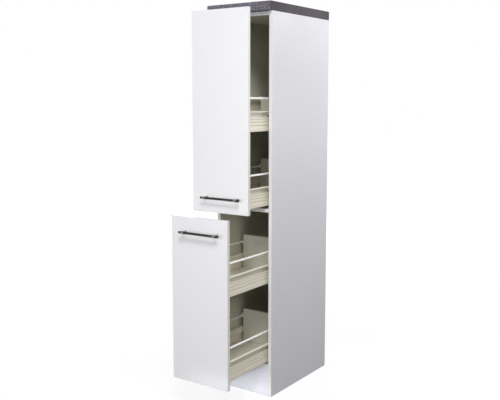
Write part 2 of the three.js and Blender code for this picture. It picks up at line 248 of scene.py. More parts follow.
def make_lamp(name, at, towards, size, power, tint, spread):
    lamp = bpy.data.lights.new(name, "AREA")
    lamp.shape = "RECTANGLE"
    lamp.size, lamp.size_y = size
    lamp.energy = power
    lamp.color = tint
    lamp.spread = math.radians(spread)
    holder = bpy.data.objects.new(name, lamp)
    holder.location = at
    aim = Vector(towards) - Vector(at)
    holder.rotation_euler = aim.to_track_quat("-Z", "Y").to_euler()
    holder.visible_camera = False
    scene.collection.objects.link(holder)


for name, settings in LAMPS.items():
    make_lamp(name, *settings)
print("lamps:", ", ".join(LAMPS))

# %% [markdown]
# ## Effects that several finishes share
# Melamine board, powder coat and moulded nylon all have a fine relief, only of a
# different size and depth. All edges that hands and feet pass get a little greyer, and
# everything that faces up gathers a trace of dust. Each of these effects is one node
# group with its own inputs, made once and placed in the materials with other values.


# %% A group and its sockets
def new_group(name, inputs, outputs):
    tree = bpy.data.node_groups.new(name, "ShaderNodeTree")
    for socket, kind, value in inputs:
        made = tree.interface.new_socket(name=socket, in_out="INPUT", socket_type=kind)
        if value is not None:
            made.default_value = value
    for socket, kind in outputs:
        tree.interface.new_socket(name=socket, in_out="OUTPUT", socket_type=kind)
    return tree, tree.nodes.new("NodeGroupInput"), tree.nodes.new("NodeGroupOutput")


# %% Fine grain: a small relief, and a slow mottling of the tint
def make_grain_group():
    tree, given, result = new_group(
        "Fine grain",
        [("Place", "NodeSocketVector", None), ("Pitch", "NodeSocketFloat", 0.001)],
        [("Height", "NodeSocketFloat"), ("Mottle", "NodeSocketFloat")],
    )
    scale = arithmetic(tree, "DIVIDE", 1.0, given.outputs["Pitch"])
    spot = given.outputs["Place"]
    fine = place(tree, "TexNoise", {"Vector": spot, "Scale": scale, "Detail": 2.0})
    slow = place(tree, "TexNoise", {"Vector": spot, "Scale": 7.0, "Detail": 3.0})
    tree.links.new(fine.outputs["Fac"], result.inputs["Height"])
    tree.links.new(slow.outputs["Fac"], result.inputs["Mottle"])
    return tree


# %% Edge wear: where the surface turns within a few millimetres
def make_edge_group():
    tree, given, result = new_group(
        "Edge wear",
        [("Place", "NodeSocketVector", None), ("Amount", "NodeSocketFloat", 0.5)],
        [("Mask", "NodeSocketFloat")],
    )
    rounded = place(tree, "Bevel", {"Radius": 0.0015}, samples=4)
    surface = place(tree, "NewGeometry")
    facing = place(tree, "VectorMath", operation="DOT_PRODUCT")
    tree.links.new(rounded.outputs["Normal"], facing.inputs[0])
    tree.links.new(surface.outputs["Normal"], facing.inputs[1])
    turning = ranged(tree, facing.outputs["Value"], 0.995, 0.8, 0.0, 1.0)
    rub = place(tree, "TexNoise", {"Vector": given.outputs["Place"], "Scale": 45.0, "Detail": 3.0})
    broken = ranged(tree, rub.outputs["Fac"], 0.35, 0.65, 0.2, 1.0)
    worn = times(tree, times(tree, turning, broken), given.outputs["Amount"])
    tree.links.new(worn, result.inputs["Mask"])
    return tree


# %% Settled dust: on what faces up, in soft patches
def make_dust_group():
    tree, given, result = new_group(
        "Settled dust",
        [("Place", "NodeSocketVector", None), ("Amount", "NodeSocketFloat", 0.2)],
        [("Mask", "NodeSocketFloat")],
    )
    surface = place(tree, "NewGeometry")
    split = place(tree, "SeparateXYZ", {"Vector": surface.outputs["Normal"]})
    upward = ranged(tree, split.outputs["Z"], 0.6, 1.0, 0.0, 1.0)
    spot = given.outputs["Place"]
    patches = place(tree, "TexNoise", {"Vector": spot, "Scale": 22.0, "Detail": 5.0})
    broken = ranged(tree, patches.outputs["Fac"], 0.3, 0.75, 0.3, 1.0)
    settled = times(tree, times(tree, upward, broken), given.outputs["Amount"])
    tree.links.new(settled, result.inputs["Mask"])
    return tree


# %% Brushing: long fine streaks along one direction
def make_brush_group():
    tree, given, result = new_group(
        "Brushing",
        [("Place", "NodeSocketVector", None), ("Stretch", "NodeSocketVector", (1.0, 1.0, 1.0))],
        [("Height", "NodeSocketFloat"), ("Streak", "NodeSocketFloat")],
    )
    drawn = place(tree, "VectorMath", operation="MULTIPLY")
    tree.links.new(given.outputs["Place"], drawn.inputs[0])
    tree.links.new(given.outputs["Stretch"], drawn.inputs[1])
    fine = place(tree, "TexNoise", {"Vector": drawn.outputs[0], "Scale": 1.0, "Detail": 4.0})
    tree.links.new(fine.outputs["Fac"], result.inputs["Height"])
    tree.links.new(fine.outputs["Fac"], result.inputs["Streak"])
    return tree


GRAIN = make_grain_group()
EDGES = make_edge_group()
DUST = make_dust_group()
BRUSH = make_brush_group()
print("shared effects:", ", ".join(g.name for g in (GRAIN, EDGES, DUST, BRUSH)))

# %% [markdown]
# ## One recipe for a plain finish
# Most finishes here are one colour with small departures from it: mottling, relief,
# greyer edges, dust. The recipe below lays these over a colour, which may itself be the
# output of other nodes, and leaves the shine to the shader's own sockets.


# %% The recipe
# Grey of worn edges; the drawer sides' painted shade uses it too.
GRIME_AND_SHADE = colour(118, 112, 102)
DUST_GREY = colour(186, 182, 172)


def effect(tree, group, sockets):
    return place(tree, "Group", sockets, node_tree=group).outputs


def blank(name):
    material = bpy.data.materials.new(name)
    material.use_nodes = True
    tree = material.node_tree
    return material, tree, tree.nodes["Principled BSDF"], place(tree, "TexCoord").outputs["Object"]


def set_specular(material, level):
    shader = material.node_tree.nodes["Principled BSDF"]
    shader.inputs["Specular IOR Level"].default_value = level


def finish(
    name, base, rough, grain=0.001, relief=0.1, spread=0.03, uneven=0.045,
    wear=0.3, dust=0.0, painted=None,
):
    material, tree, shader, spot = blank(name)
    fine = effect(tree, GRAIN, {"Place": spot, "Pitch": grain})
    tint = painted(tree, spot) if painted else base
    darker = place(tree, "HueSaturation", {"Value": 1.0 - spread, "Color": tint}).outputs["Color"]
    tint = mixed(tree, fine["Mottle"], tint, darker)
    worn = effect(tree, EDGES, {"Place": spot, "Amount": wear})
    tint = mixed(tree, worn["Mask"], tint, GRIME_AND_SHADE)
    if dust:
        settled = effect(tree, DUST, {"Place": spot, "Amount": dust})
        tint = mixed(tree, settled["Mask"], tint, DUST_GREY)
    tree.links.new(tint, shader.inputs["Base Color"])
    shine = ranged(tree, fine["Mottle"], 0.3, 0.7, rough - uneven, rough + uneven)
    tree.links.new(shine, shader.inputs["Roughness"])
    bumps = {"Strength": relief, "Distance": grain * 0.2, "Height": fine["Height"]}
    lit = place(tree, "Bump", bumps)
    tree.links.new(lit.outputs["Normal"], shader.inputs["Normal"])
    return material


# %% [markdown]
# ## The boards
# The cabinet is melamine-faced chipboard: white outside and on its front edges, and a
# warm grey decor inside, which is why the open cabinet looks darker than its shell. One
# board carries both, so the material decides by where a point lies: between the side
# panels and behind their front edges it is inside.

# %% Cabinet board
INSIDE_HALF_WIDTH = 0.1345
FRONT_EDGE_Y = -0.0095
BACK_FACE_Y = 0.4765
OUTER_WHITE = colour(224, 224, 229)
INNER_GREY = colour(212, 211, 195)
FRONT_EDGE_WHITE = colour(246, 246, 246)


def below(tree, value, limit):
    return arithmetic(tree, "LESS_THAN", value, limit)


def above(tree, value, limit):
    return arithmetic(tree, "GREATER_THAN", value, limit)


def carcass_decor(tree, spot):
    where = place(tree, "SeparateXYZ", {"Vector": spot}).outputs
    between = below(tree, arithmetic(tree, "ABSOLUTE", where["X"]), INSIDE_HALF_WIDTH)
    behind_edge = above(tree, where["Y"], FRONT_EDGE_Y)
    deep = times(tree, behind_edge, below(tree, where["Y"], BACK_FACE_Y))
    shell = mixed(tree, below(tree, where["Y"], FRONT_EDGE_Y), OUTER_WHITE, FRONT_EDGE_WHITE)
    return mixed(tree, times(tree, between, deep), shell, INNER_GREY)


carcass_board = finish(
    "carcass board", OUTER_WHITE, 0.42, grain=0.0014, relief=0.12,
    wear=0.35, dust=0.15, painted=carcass_decor,
)
set_specular(carcass_board, 0.4)

# The plinth board is the same white all over, brighter and bluer than the cabinet: painted light.
plinth_board = finish(
    "plinth board", colour(240, 240, 249), 0.4, grain=0.0014, relief=0.1, wear=0.4, dust=0.1
)

# %% [markdown]
# The fronts are wrapped in a smooth white foil that is a little glossier than the
# cabinet. Its relief is only the slight waviness that pressed foil always has. Their
# upright sides are painted a warmer, greyer white: the warmth is their edging strip, and
# the grey is painted shade that keeps the lamps on the right from lighting them too much.

# %% Front foil
FOIL_WHITE = colour(240, 240, 243)
FOIL_SIDE_STRIP_AND_SHADE = colour(226, 223, 218)


SIDEWAYS = 0.7  # least share of the normal along X


def sideways_part(tree):
    normal = place(tree, "NewGeometry").outputs["Normal"]
    return place(tree, "SeparateXYZ", {"Vector": normal}).outputs["X"]


def faces_sideways(tree):
    return above(tree, arithmetic(tree, "ABSOLUTE", sideways_part(tree)), SIDEWAYS)


# Painted shade on the upright sides, with the warm tint of their edging strip.
def foil_tint(tree, spot):
    return mixed(tree, faces_sideways(tree), FOIL_WHITE, FOIL_SIDE_STRIP_AND_SHADE)


front_foil = finish(
    "front foil", FOIL_WHITE, 0.36, grain=0.002, relief=0.03, spread=0.006,
    uneven=0.015, wear=0.2, painted=foil_tint,
)

# %% [markdown]
# The drawers' bases and backs are board of the same warm grey as the inside.

# %% Drawer board
drawer_board = finish(
    "drawer board", colour(216, 214, 200), 0.45, grain=0.0014, relief=0.12, wear=0.4, dust=0.25
)

# %% [markdown]
# ## The worktop
# A chipboard core under a stone-effect laminate. The print is small chips of several
# greys in a violet-grey ground, a few millimetres across. Its front is post-formed with
# the top, while the sawn ends are closed by an edging strip in a darker, browner tone,
# which the material picks by the direction that the face looks in.

# %% Stone laminate
CHIP_SIZE = 0.004
GROUND_GREY = colour(118, 114, 127)
CHIP_DARK = colour(86, 81, 92)
CHIP_LIGHT = colour(150, 146, 158)
END_STRIP = colour(64, 58, 63)


def stone_print(tree, spot):
    chips = place(tree, "TexVoronoi", {"Vector": spot, "Scale": 1 / CHIP_SIZE}, feature="F1")
    tone = place(tree, "SeparateXYZ", {"Vector": chips.outputs["Color"]}).outputs["X"]
    dark = ranged(tree, tone, 0.0, 0.35, 1.0, 0.0)
    light = ranged(tree, tone, 0.78, 1.0, 0.0, 1.0)
    cloud = place(tree, "TexNoise", {"Vector": spot, "Scale": 90.0, "Detail": 4.0}).outputs["Fac"]
    ground = mixed(tree, ranged(tree, cloud, 0.35, 0.65, 0.0, 0.5), GROUND_GREY, CHIP_DARK)
    chipped = mixed(tree, dark, mixed(tree, light, ground, CHIP_LIGHT), CHIP_DARK)
    strip = mixed(tree, ranged(tree, cloud, 0.35, 0.65, 0.0, 0.35), END_STRIP, CHIP_DARK)
    return mixed(tree, faces_sideways(tree), chipped, strip)


stone_laminate = finish(
    "stone laminate", GROUND_GREY, 0.6, grain=0.0012, relief=0.2,
    wear=0.1, dust=0.12, painted=stone_print,
)
set_specular(stone_laminate, 0.2)

# %% [markdown]
# ## Coated steel
# The drawer sides and the runners are bent steel sheet with a cream powder coat. Powder
# melts into a skin with a very fine orange peel. The grooves, the ledge over them and the
# recess under the flange get painted shade, darker than the ribs, for the shadow that the
# lip and the ribs cast. The round rails have a harder white enamel that shines more.

# %% Powder coat and enamel
CREAM = colour(236, 229, 210)
RIBS_START, RECESS_START, RECESS_BOTTOM, FLANGE_BOTTOM = 0.02, 0.0565, 0.0605, 0.0826
GROOVE_FLOOR, GROOVE_RIM = 0.1245, 0.1258
# How dark the painted shade is in the recess, on the ledge and in the grooves.
RECESS_SHADE, LEDGE_SHADE, GROOVE_SHADE = 0.2, 0.6, 0.55
OUTWARDS = -0.03  # the least of x times the normal's x on a face turned away from the drawer


# Painted shade on the recess, the ledge and the grooves, where the lip and the ribs cast shadow.
def painted_shade_steel(tree, spot):
    where = place(tree, "SeparateXYZ", {"Vector": spot}).outputs
    facing = sideways_part(tree)
    outwards = above(tree, times(tree, facing, where["X"]), OUTWARDS)
    across = arithmetic(tree, "ABSOLUTE", where["X"])
    rising = ranged(tree, where["Z"], RECESS_START, RECESS_BOTTOM, 0.0, 1.0)
    upright = arithmetic(tree, "ABSOLUTE", facing)
    layer = ranged(tree, upright, 0.2, 0.8, LEDGE_SHADE, RECESS_SHADE)
    recess = times(tree, below(tree, where["Z"], FLANGE_BOTTOM), times(tree, rising, layer))
    groove = ranged(tree, across, GROOVE_FLOOR, GROOVE_RIM, GROOVE_SHADE, 0.0)
    over_ribs_start = above(tree, where["Z"], RIBS_START)
    ribbed = times(tree, over_ribs_start, below(tree, where["Z"], RECESS_START))
    painted_shade_mask = arithmetic(tree, "MAXIMUM", recess, times(tree, groove, ribbed))
    return mixed(tree, times(tree, outwards, painted_shade_mask), CREAM, GRIME_AND_SHADE)


cream_steel = finish(
    "cream powder coat", CREAM, 0.4, grain=0.0009, relief=0.2,
    wear=0.06, dust=0.05, painted=painted_shade_steel,
)
runner_steel = finish(
    "runner powder coat", colour(228, 221, 201), 0.45, grain=0.0009, relief=0.2, wear=0.5
)
white_enamel = finish(
    "white enamel", colour(251, 251, 249), 0.25, grain=0.002, relief=0.05, wear=0.05, dust=0.05
)

# %% [markdown]
# The rollers are moulded nylon, slightly rough, with the faint grey that wheels pick up
# where they roll. The rails' sockets and holders are the same plastic in a purer white.

# %% Moulded plastics
nylon = finish("moulded nylon", colour(236, 235, 228), 0.5, grain=0.0006, relief=0.15, wear=0.6)
holder_plastic = finish(
    "holder plastic", colour(240, 240, 236), 0.45, grain=0.0008, relief=0.12, wear=0.3
)

# %% [markdown]
# ## Bare metal
# Metal has no colour of its own under the shine, so these are metallic shaders. The
# handle bars are dark and brushed along their length: long streaks vary the roughness
# and tilt the surface a little. The posts that hold them are a lighter satin nickel, and
# the screws are zinc-plated.


# %% Metals
def metal(name, dark, bright, rough, stretch, relief=0.15):
    material, tree, shader, spot = blank(name)
    drawn = effect(tree, BRUSH, {"Place": spot, "Stretch": stretch})
    tree.links.new(mixed(tree, drawn["Streak"], dark, bright), shader.inputs["Base Color"])
    uneven = ranged(tree, drawn["Streak"], 0.3, 0.7, rough - 0.06, rough + 0.08)
    tree.links.new(uneven, shader.inputs["Roughness"])
    lit = place(tree, "Bump", {"Strength": relief, "Distance": 0.0001, "Height": drawn["Height"]})
    tree.links.new(lit.outputs["Normal"], shader.inputs["Normal"])
    shader.inputs["Metallic"].default_value = 1.0
    return material


ALONG_X = (25.0, 2200.0, 2200.0)
ALL_WAYS = (900.0, 900.0, 900.0)
dark_steel = metal("dark brushed steel", colour(34, 33, 31), colour(60, 58, 54), 0.34, ALONG_X)
satin_nickel = metal("satin nickel", colour(116, 111, 102), colour(146, 140, 130), 0.38, ALL_WAYS)
zinc = metal("zinc plating", colour(150, 152, 156), colour(196, 198, 202), 0.34, ALL_WAYS)
materials = [m.name for m in bpy.data.materials]
print(len(materials), "materials:", ", ".join(materials))

# %% [markdown]
# ## Boards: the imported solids, with their sharp corners broken
# A real board has no razor edges: edging is scraped to a small radius, and foil bends
# round a larger one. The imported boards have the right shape, so they stay and only get a
# narrow bevel, which catches the light as the real edge does.

# %% Dress the boards
DRAWERS = (1, 2, 3, 4)


def is_carcass_board(name):
    return name.endswith(("_panel", "_shelf")) or name.startswith("side_panel")


BOARD_FINISHES = {
    carcass_board: [name for name in nodes if is_carcass_board(name)],
    plinth_board: ["plinth_board"],
    stone_laminate: ["worktop"],
    front_foil: ["upper_front", "lower_front"],
    drawer_board: [f"drawer_{number}_{part}" for number in DRAWERS for part in ("base", "back")],
}
EDGE_RADIUS = {front_foil: 0.0015, stone_laminate: 0.0008}
PLAIN_EDGE_RADIUS = 0.0006


def repaint(node, material):
    node.data.materials.clear()
    node.data.materials.append(material)


def break_edges(node, radius, segments=3):
    bevel = node.modifiers.new("broken edges", "BEVEL")
    bevel.width = radius
    bevel.segments = segments
    bevel.limit_method = "ANGLE"
    bevel.angle_limit = math.radians(40)
    bevel.harden_normals = True
    bevel.use_clamp_overlap = True


for material, names in BOARD_FINISHES.items():
    for name in names:
        repaint(nodes[name], material)
        break_edges(nodes[name], EDGE_RADIUS.get(material, PLAIN_EDGE_RADIUS))
print("boards dressed:", sum(len(names) for names in BOARD_FINISHES.values()))

# %% [markdown]
# ## Making small parts
# Everything else is metal or plastic of a few millimetres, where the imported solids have
# flat facets and knife-sharp bends. Each is drawn again here with round turnings and
# real bend radii, in the place of the solid that it stands for. A piece is built from
# vertices in bmesh, gets smooth shading up to its real edges, and rides on the body that
# carries it.


# %% Piece helpers
def shade(mesh, sharp_degrees=35):
    mesh.polygons.foreach_set("use_smooth", [True] * len(mesh.polygons))
    mesh.set_sharp_from_angle(angle=math.radians(sharp_degrees))


def mesh_of(name, bm, material):
    bmesh.ops.recalc_face_normals(bm, faces=bm.faces)
    mesh = bpy.data.meshes.new(name)
    bm.to_mesh(mesh)
    bm.free()
    mesh.materials.append(material)
    shade(mesh)
    return mesh


def piece(name, mesh, body, at=(0, 0, 0), stands_for=()):
    made = bpy.data.objects.new(name, mesh)
    made.location = at
    scene.collection.objects.link(made)
    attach(made, body)
    if stands_for:
        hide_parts(*stands_for)
    return made


def loop_faces(bm, first, second):
    count = len(first)
    for i in range(count):
        j = (i + 1) % count
        bm.faces.new((first[i], first[j], second[j], second[i]))


# Turns a profile of (radius, place along the axis) round an axis through centre.
def turn(bm, profile, centre, axis, sides=40):
    along = Vector(axis).normalized()
    across = along.orthogonal().normalized()
    up = along.cross(across)
    rings = []
    for radius, place_along in profile:
        middle = Vector(centre) + along * place_along
        if radius < 1e-7:
            rings.append([bm.verts.new(middle)])
            continue
        ring = []
        for k in range(sides):
            angle = 2 * math.pi * k / sides
            spoke = across * math.cos(angle) + up * math.sin(angle)
            ring.append(bm.verts.new(middle + spoke * radius))
        rings.append(ring)
    for first, second in zip(rings, rings[1:]):
        if len(first) == 1 or len(second) == 1:
            tip, rim = (first[0], second) if len(first) == 1 else (second[0], first)
            for i, vertex in enumerate(rim):
                bm.faces.new((vertex, rim[(i + 1) % len(rim)], tip))
        else:
            loop_faces(bm, first, second)


# Rounds the corners of an open line of points with arcs of the given radius.
def with_bends(points, radius, steps=4):
    line = [Vector(points[0])]
    for before, corner, after in zip(points, points[1:], points[2:]):
        before, corner, after = Vector(before), Vector(corner), Vector(after)
        arriving = (corner - before).normalized()
        leaving = (after - corner).normalized()
        angle = arriving.angle(leaving)
        room = min((corner - before).length, (after - corner).length) * 0.49
        reach = min(radius * math.tan(angle / 2), room)
        actual = reach / math.tan(angle / 2)
        inward = (leaving - arriving).normalized()
        centre = corner + inward * (actual / math.cos(angle / 2))
        start = corner - arriving * reach - centre
        end = corner + leaving * reach - centre
        for k in range(steps + 1):
            line.append(centre + start.slerp(end, k / steps))
    line.append(Vector(points[-1]))
    return line


# A strip of sheet: a line in two directions, thickened, and drawn out along the third.
def bent_sheet(bm, line, thickness, put, start, end):
    sides = []
    for i, point in enumerate(line):
        arriving = (point - line[i - 1]).normalized() if i else None
        leaving = (line[i + 1] - point).normalized() if i + 1 < len(line) else None
        direction = ((arriving or leaving) + (leaving or arriving)).normalized()
        stretch = 1 / max(0.5, direction.dot(arriving or leaving))
        out = Vector((-direction.y, direction.x)) * (thickness / 2 * stretch)
        sides.append((point + out, point - out))
    outline = [near for near, far in sides] + [far for near, far in reversed(sides)]
    ends = [[bm.verts.new(put(p.x, p.y, along)) for p in outline] for along in (start, end)]
    loop_faces(bm, *ends)
    last = len(outline) - 1
    for ring in ends:
        for i in range(len(sides) - 1):
            bm.faces.new((ring[i], ring[i + 1], ring[last - i - 1], ring[last - i]))


# A plate or block with rounded corners and eased edges.
def block(bm, low, high, corner, ease, corner_axis=1):
    part = bmesh.new()
    bmesh.ops.create_cube(part, size=1.0)
    size = Vector(high) - Vector(low)
    middle = (Vector(high) + Vector(low)) / 2
    for vertex in part.verts:
        vertex.co = Vector([c * s for c, s in zip(vertex.co, size)]) + middle
    full = size[corner_axis] * 0.9
    around = [e for e in part.edges if abs((e.verts[0].co - e.verts[1].co)[corner_axis]) > full]
    if corner > 0:
        bmesh.ops.bevel(part, geom=around, offset=corner, segments=4, profile=0.5, affect="EDGES")
    sharp = [e for e in part.edges if e.is_manifold and e.calc_face_angle() > math.radians(50)]
    if ease > 0:
        bmesh.ops.bevel(part, geom=sharp, offset=ease, segments=2, profile=0.5, affect="EDGES")
    scratch = bpy.data.meshes.new("scratch")
    part.to_mesh(scratch)
    part.free()
    bm.from_mesh(scratch)
    bpy.data.meshes.remove(scratch)


print("ready to make small parts")

# %% [markdown]
# ## Where a drawer sits
# All four drawers are alike, so each part is modelled once, in millimetres from the
# middle of a drawer's front lower edge, and placed four times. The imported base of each
# drawer says where that point is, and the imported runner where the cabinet's part is.

# %% Places of drawers and runners
MM = 0.001
HANDS = {"left": -1, "right": 1}
BASE_FROM_FRONT = 1.8
BASE_FROM_BOTTOM = 1.5
CARCASS_FRONT_Y = -10.0 * MM
CHANNEL_BOTTOM = 62.6


def pull_out_of(number):
    return "upper_pullout" if number < 3 else "lower_pullout"


def drawer_place(number):
    low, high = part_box(f"drawer_{number}_base")
    return Vector((0.0, low.y - BASE_FROM_FRONT * MM, low.z - BASE_FROM_BOTTOM * MM))


def runner_place(number):
    low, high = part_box(f"cabinet_runner_{number}_left")
    return Vector((0.0, CARCASS_FRONT_Y, low.z - CHANNEL_BOTTOM * MM))


def scaled(hand):
    return lambda x, y, z: Vector((x * hand, y, z)) * MM


# A section is drawn in x and z, and then runs along y.
def standing(place_point):
    return lambda x, z, y: place_point(x, y, z)


def between_corners(corners):
    return [min(row) for row in zip(*corners)], [max(row) for row in zip(*corners)]


for number in DRAWERS:
    print("drawer", number, "at", [round(c, 4) for c in drawer_place(number)])

# %% [markdown]
# ## Drawer sides
# Each side is one strip of 1.2 mm steel, rolled to a section: a flange under the base, a
# ribbed lower part that stiffens it, a step in to make room for the rollers, and a
# flange with a lip over them. It could be an extruded solid with a bevel, but a bevel
# can't tell bends from cut edges. Here the section's middle line gets true bend radii
# and is then thickened, so bends come out round and cut edges stay crisp.

# %% Section of a drawer side
SHEET = 1.2
BEND_RADIUS = 1.3
SIDE_SECTION = [
    (113, 0.6), (125.4, 0.6),
    (125.4, 23.5), (123.9, 24.5), (123.9, 26.5), (125.4, 27.5),
    (125.4, 38.5), (123.9, 39.5), (123.9, 41.5), (125.4, 42.5),
    (125.4, 50.5), (123.9, 51.5), (123.9, 53.5), (125.4, 54.5),
    (125.4, 60.4), (117.4, 60.4), (117.4, 87.4), (129.4, 87.4), (129.4, 83.2),
]
SIDE_START, SIDE_END = 0.3, 481.5
WEB_OUTER = 118.0
FRONT_TAB_WIDTH, REAR_TAB_WIDTH = 14, 18
TAB_BOTTOM, TAB_TOP = 20, 80
TAB_INTO_WEB = 0.4


def side_mesh(side):
    place_point = scaled(HANDS[side])
    bm = bmesh.new()
    line = with_bends(SIDE_SECTION, BEND_RADIUS)
    bent_sheet(bm, line, SHEET, standing(place_point), SIDE_START, SIDE_END)
    for width, start in ((FRONT_TAB_WIDTH, SIDE_START), (REAR_TAB_WIDTH, SIDE_END - SHEET)):
        near = place_point(WEB_OUTER - width, start, TAB_BOTTOM)
        far = place_point(WEB_OUTER - TAB_INTO_WEB, start + SHEET, TAB_TOP)
        low, high = between_corners((near, far))
        block(bm, low, high, corner=3 * MM, ease=0.2 * MM)
    return mesh_of("drawer side " + side, bm, cream_steel)


side_meshes = {side: side_mesh(side) for side in HANDS}
for number in DRAWERS:
    for side, mesh in side_meshes.items():
        node = f"drawer_{number}_side_{side}"
        body, at = pull_out_of(number), drawer_place(number)
        piece(node + "_sheet", mesh, body, at, [node])
print("drawer side:", len(side_meshes["left"].vertices), "vertices")

# %% [markdown]
# ## Cabinet runners
# A runner is a channel of the same sheet, screwed to the side panel, with a flat ear in
# front that carries the front roller. The drawer's rear roller runs inside the channel.

# %% Runner channel and ear
CHANNEL_SECTION = [(121.3, 63.2), (133.1, 63.2), (133.1, 80.0), (121.3, 80.0)]
CHANNEL_START, CHANNEL_END = 26, 480
EAR = ((132.5, 3, 62.6), (133.7, 28, 84))


def runner_mesh(side):
    place_point = scaled(HANDS[side])
    bm = bmesh.new()
    line = with_bends(CHANNEL_SECTION, BEND_RADIUS)
    bent_sheet(bm, line, SHEET, standing(place_point), CHANNEL_START, CHANNEL_END)
    low, high = between_corners([place_point(*corner) for corner in EAR])
    block(bm, low, high, corner=4 * MM, ease=0.2 * MM, corner_axis=0)
    return mesh_of("runner " + side, bm, runner_steel)


runner_meshes = {side: runner_mesh(side) for side in HANDS}
for number in DRAWERS:
    for side, mesh in runner_meshes.items():
        node = f"cabinet_runner_{number}_{side}"
        piece(node + "_channel", mesh, "carcass", runner_place(number), [node])
print("runner channels:", 2 * len(DRAWERS))

# %% [markdown]
# ## Rollers and their pins
# A roller is a turned ring with a recess on each face, and it turns on a riveted pin
# with a spacer behind it and a domed head. Rollers ride on their own bodies, because
# they spin as the drawers move, while pins stay with the sheet that holds them.

# %% Rollers
ROLLER_NEAR_FACE = 120.3
ROLLER_WIDTH = 8
ROLLER_SECTION = [
    (3.3, 0), (4.8, 0), (5.1, 0.7), (-1.7, 0.7), (-1.4, 0), (-0.8, 0), (-0.25, 0.25), (0, 0.8),
    (0, 7.2), (-0.25, 7.75), (-0.8, 8), (-1.4, 8), (-1.7, 7.3), (5.1, 7.3), (4.8, 8), (3.3, 8),
]


# Radii of zero or less count inwards from the roller's outer radius.
def roller_mesh(name, outer):
    profile = [((r if r > 0 else outer + r) * MM, along * MM) for r, along in ROLLER_SECTION]
    bm = bmesh.new()
    turn(bm, profile + profile[:1], (0, 0, 0), (1, 0, 0), sides=48)
    bmesh.ops.remove_doubles(bm, verts=bm.verts, dist=1e-6)
    return mesh_of(name, bm, nylon)


def put_rollers(kind, outer, y, z, origin):
    mesh = roller_mesh(kind + " roller", outer)
    for number in DRAWERS:
        for side, hand in HANDS.items():
            near = ROLLER_NEAR_FACE if hand > 0 else -ROLLER_NEAR_FACE - ROLLER_WIDTH
            at = origin(number) + Vector((near, y, z)) * MM
            node = f"{kind}_roller_{number}_{side}"
            piece(node + "_wheel", mesh, f"{kind}_rollers_{number}", at, [node])


FRONT_PIN = (13, 78.5)
REAR_PIN = (466, 71.6)
put_rollers("front", 8.0, *FRONT_PIN, runner_place)
put_rollers("rear", 7.5, *REAR_PIN, drawer_place)
print("rollers:", 4 * len(DRAWERS))

# %% Pins
PIN_HEAD = [(3.0, 0), (4.6, 0), (5.0, 0.3), (4.9, 0.7), (4.0, 1.0), (0, 1.1)]
SPACER_RADIUS, SPACER_RIM, SHANK_RADIUS = 4.2, 4.0, 3.0
RUNNER_WALL, DRAWER_WEB = 133.1, 117.4
BEFORE_ROLLER, PAST_ROLLER = 120.0, 128.6


def pin_mesh(name, root, near, far, hand):
    direction = 1 if far > root else -1
    reach = abs(far - root)
    spacer = abs(near - root)
    profile = [(0, 0), (SPACER_RADIUS, 0), (SPACER_RADIUS, spacer - 0.2)]
    profile += [(SPACER_RIM, spacer), (SHANK_RADIUS, spacer)]
    profile += [(radius, reach + along) for radius, along in PIN_HEAD]
    bm = bmesh.new()
    start = (root * hand * MM, 0, 0)
    turn(bm, [(r * MM, a * MM) for r, a in profile], start, (direction * hand, 0, 0), sides=32)
    return mesh_of(name, bm, zinc)


for side, hand in HANDS.items():
    front_pin = pin_mesh("front pin " + side, RUNNER_WALL, PAST_ROLLER, BEFORE_ROLLER, hand)
    rear_pin = pin_mesh("rear pin " + side, DRAWER_WEB, BEFORE_ROLLER, PAST_ROLLER, hand)
    for number in DRAWERS:
        at = runner_place(number) + Vector((0, *FRONT_PIN)) * MM
        piece(f"front_roller_{number}_{side}_pin", front_pin, "carcass", at)
        body, at = pull_out_of(number), drawer_place(number) + Vector((0, *REAR_PIN)) * MM
        piece(f"rear_roller_{number}_{side}_pin", rear_pin, body, at)
print("pins:", 4 * len(DRAWERS))

# %% [markdown]
# ## Round rails
# A white rod over each drawer side keeps bottles in. At the front it stands in a round
# socket screwed to the front, and at the rear in a block on the end of the drawer's
# back. Rod and fittings are separate pieces, because enamel and plastic shine unlike.

# %% Rails with their fittings
RAIL_X = 118
RAIL_HEIGHT = 143
ROD_RADIUS, ROD_START, ROD_END = 5, 6, 468
COLLAR_START = 459
SOCKET = [
    (0, 0.3), (8.7, 0.3), (9, 0.6), (9, 8.6), (8.6, 9.4), (7.6, 10),
    (5.7, 10), (5.3, 9.5), (5.3, 8), (0, 8),
]
COLLAR = [(0, 0), (5.3, 0), (5.6, 0.3), (5.7, 4), (6.1, 6), (0, 6)]
HOLDER = ((113.3, 464, 132.5), (123.3, 480, 153.5))


def millimetres(profile):
    return [(radius * MM, along * MM) for radius, along in profile]


def rod_mesh(side):
    bm = bmesh.new()
    start = scaled(HANDS[side])(RAIL_X, 0, RAIL_HEIGHT)
    rod = [(0, ROD_START), (ROD_RADIUS, ROD_START), (ROD_RADIUS, ROD_END), (0, ROD_END)]
    turn(bm, millimetres(rod), start, (0, 1, 0), sides=40)
    return mesh_of("rod " + side, bm, white_enamel)


def rail_fittings_mesh(side):
    place_point = scaled(HANDS[side])
    bm = bmesh.new()
    turn(bm, millimetres(SOCKET), place_point(RAIL_X, 0, RAIL_HEIGHT), (0, 1, 0))
    turn(bm, millimetres(COLLAR), place_point(RAIL_X, COLLAR_START, RAIL_HEIGHT), (0, 1, 0))
    low, high = between_corners([place_point(*corner) for corner in HOLDER])
    block(bm, low, high, corner=3.5 * MM, ease=0.7 * MM, corner_axis=0)
    return mesh_of("rail fittings " + side, bm, holder_plastic)


for side in HANDS:
    rod = rod_mesh(side)
    fittings = rail_fittings_mesh(side)
    for number in DRAWERS:
        node = f"drawer_{number}_rail_{side}"
        body, at = pull_out_of(number), drawer_place(number)
        piece(node + "_rod", rod, body, at, [node])
        piece(node + "_fittings", fittings, body, at)
print("rails:", 2 * len(DRAWERS))

# %% [markdown]
# ## Handles
# A dark round bar lies across each front, near the edge where the two fronts meet. Two
# lighter posts stand on the front, and each ends in a ring that grips the bar. The bar
# runs on a little past the rings.

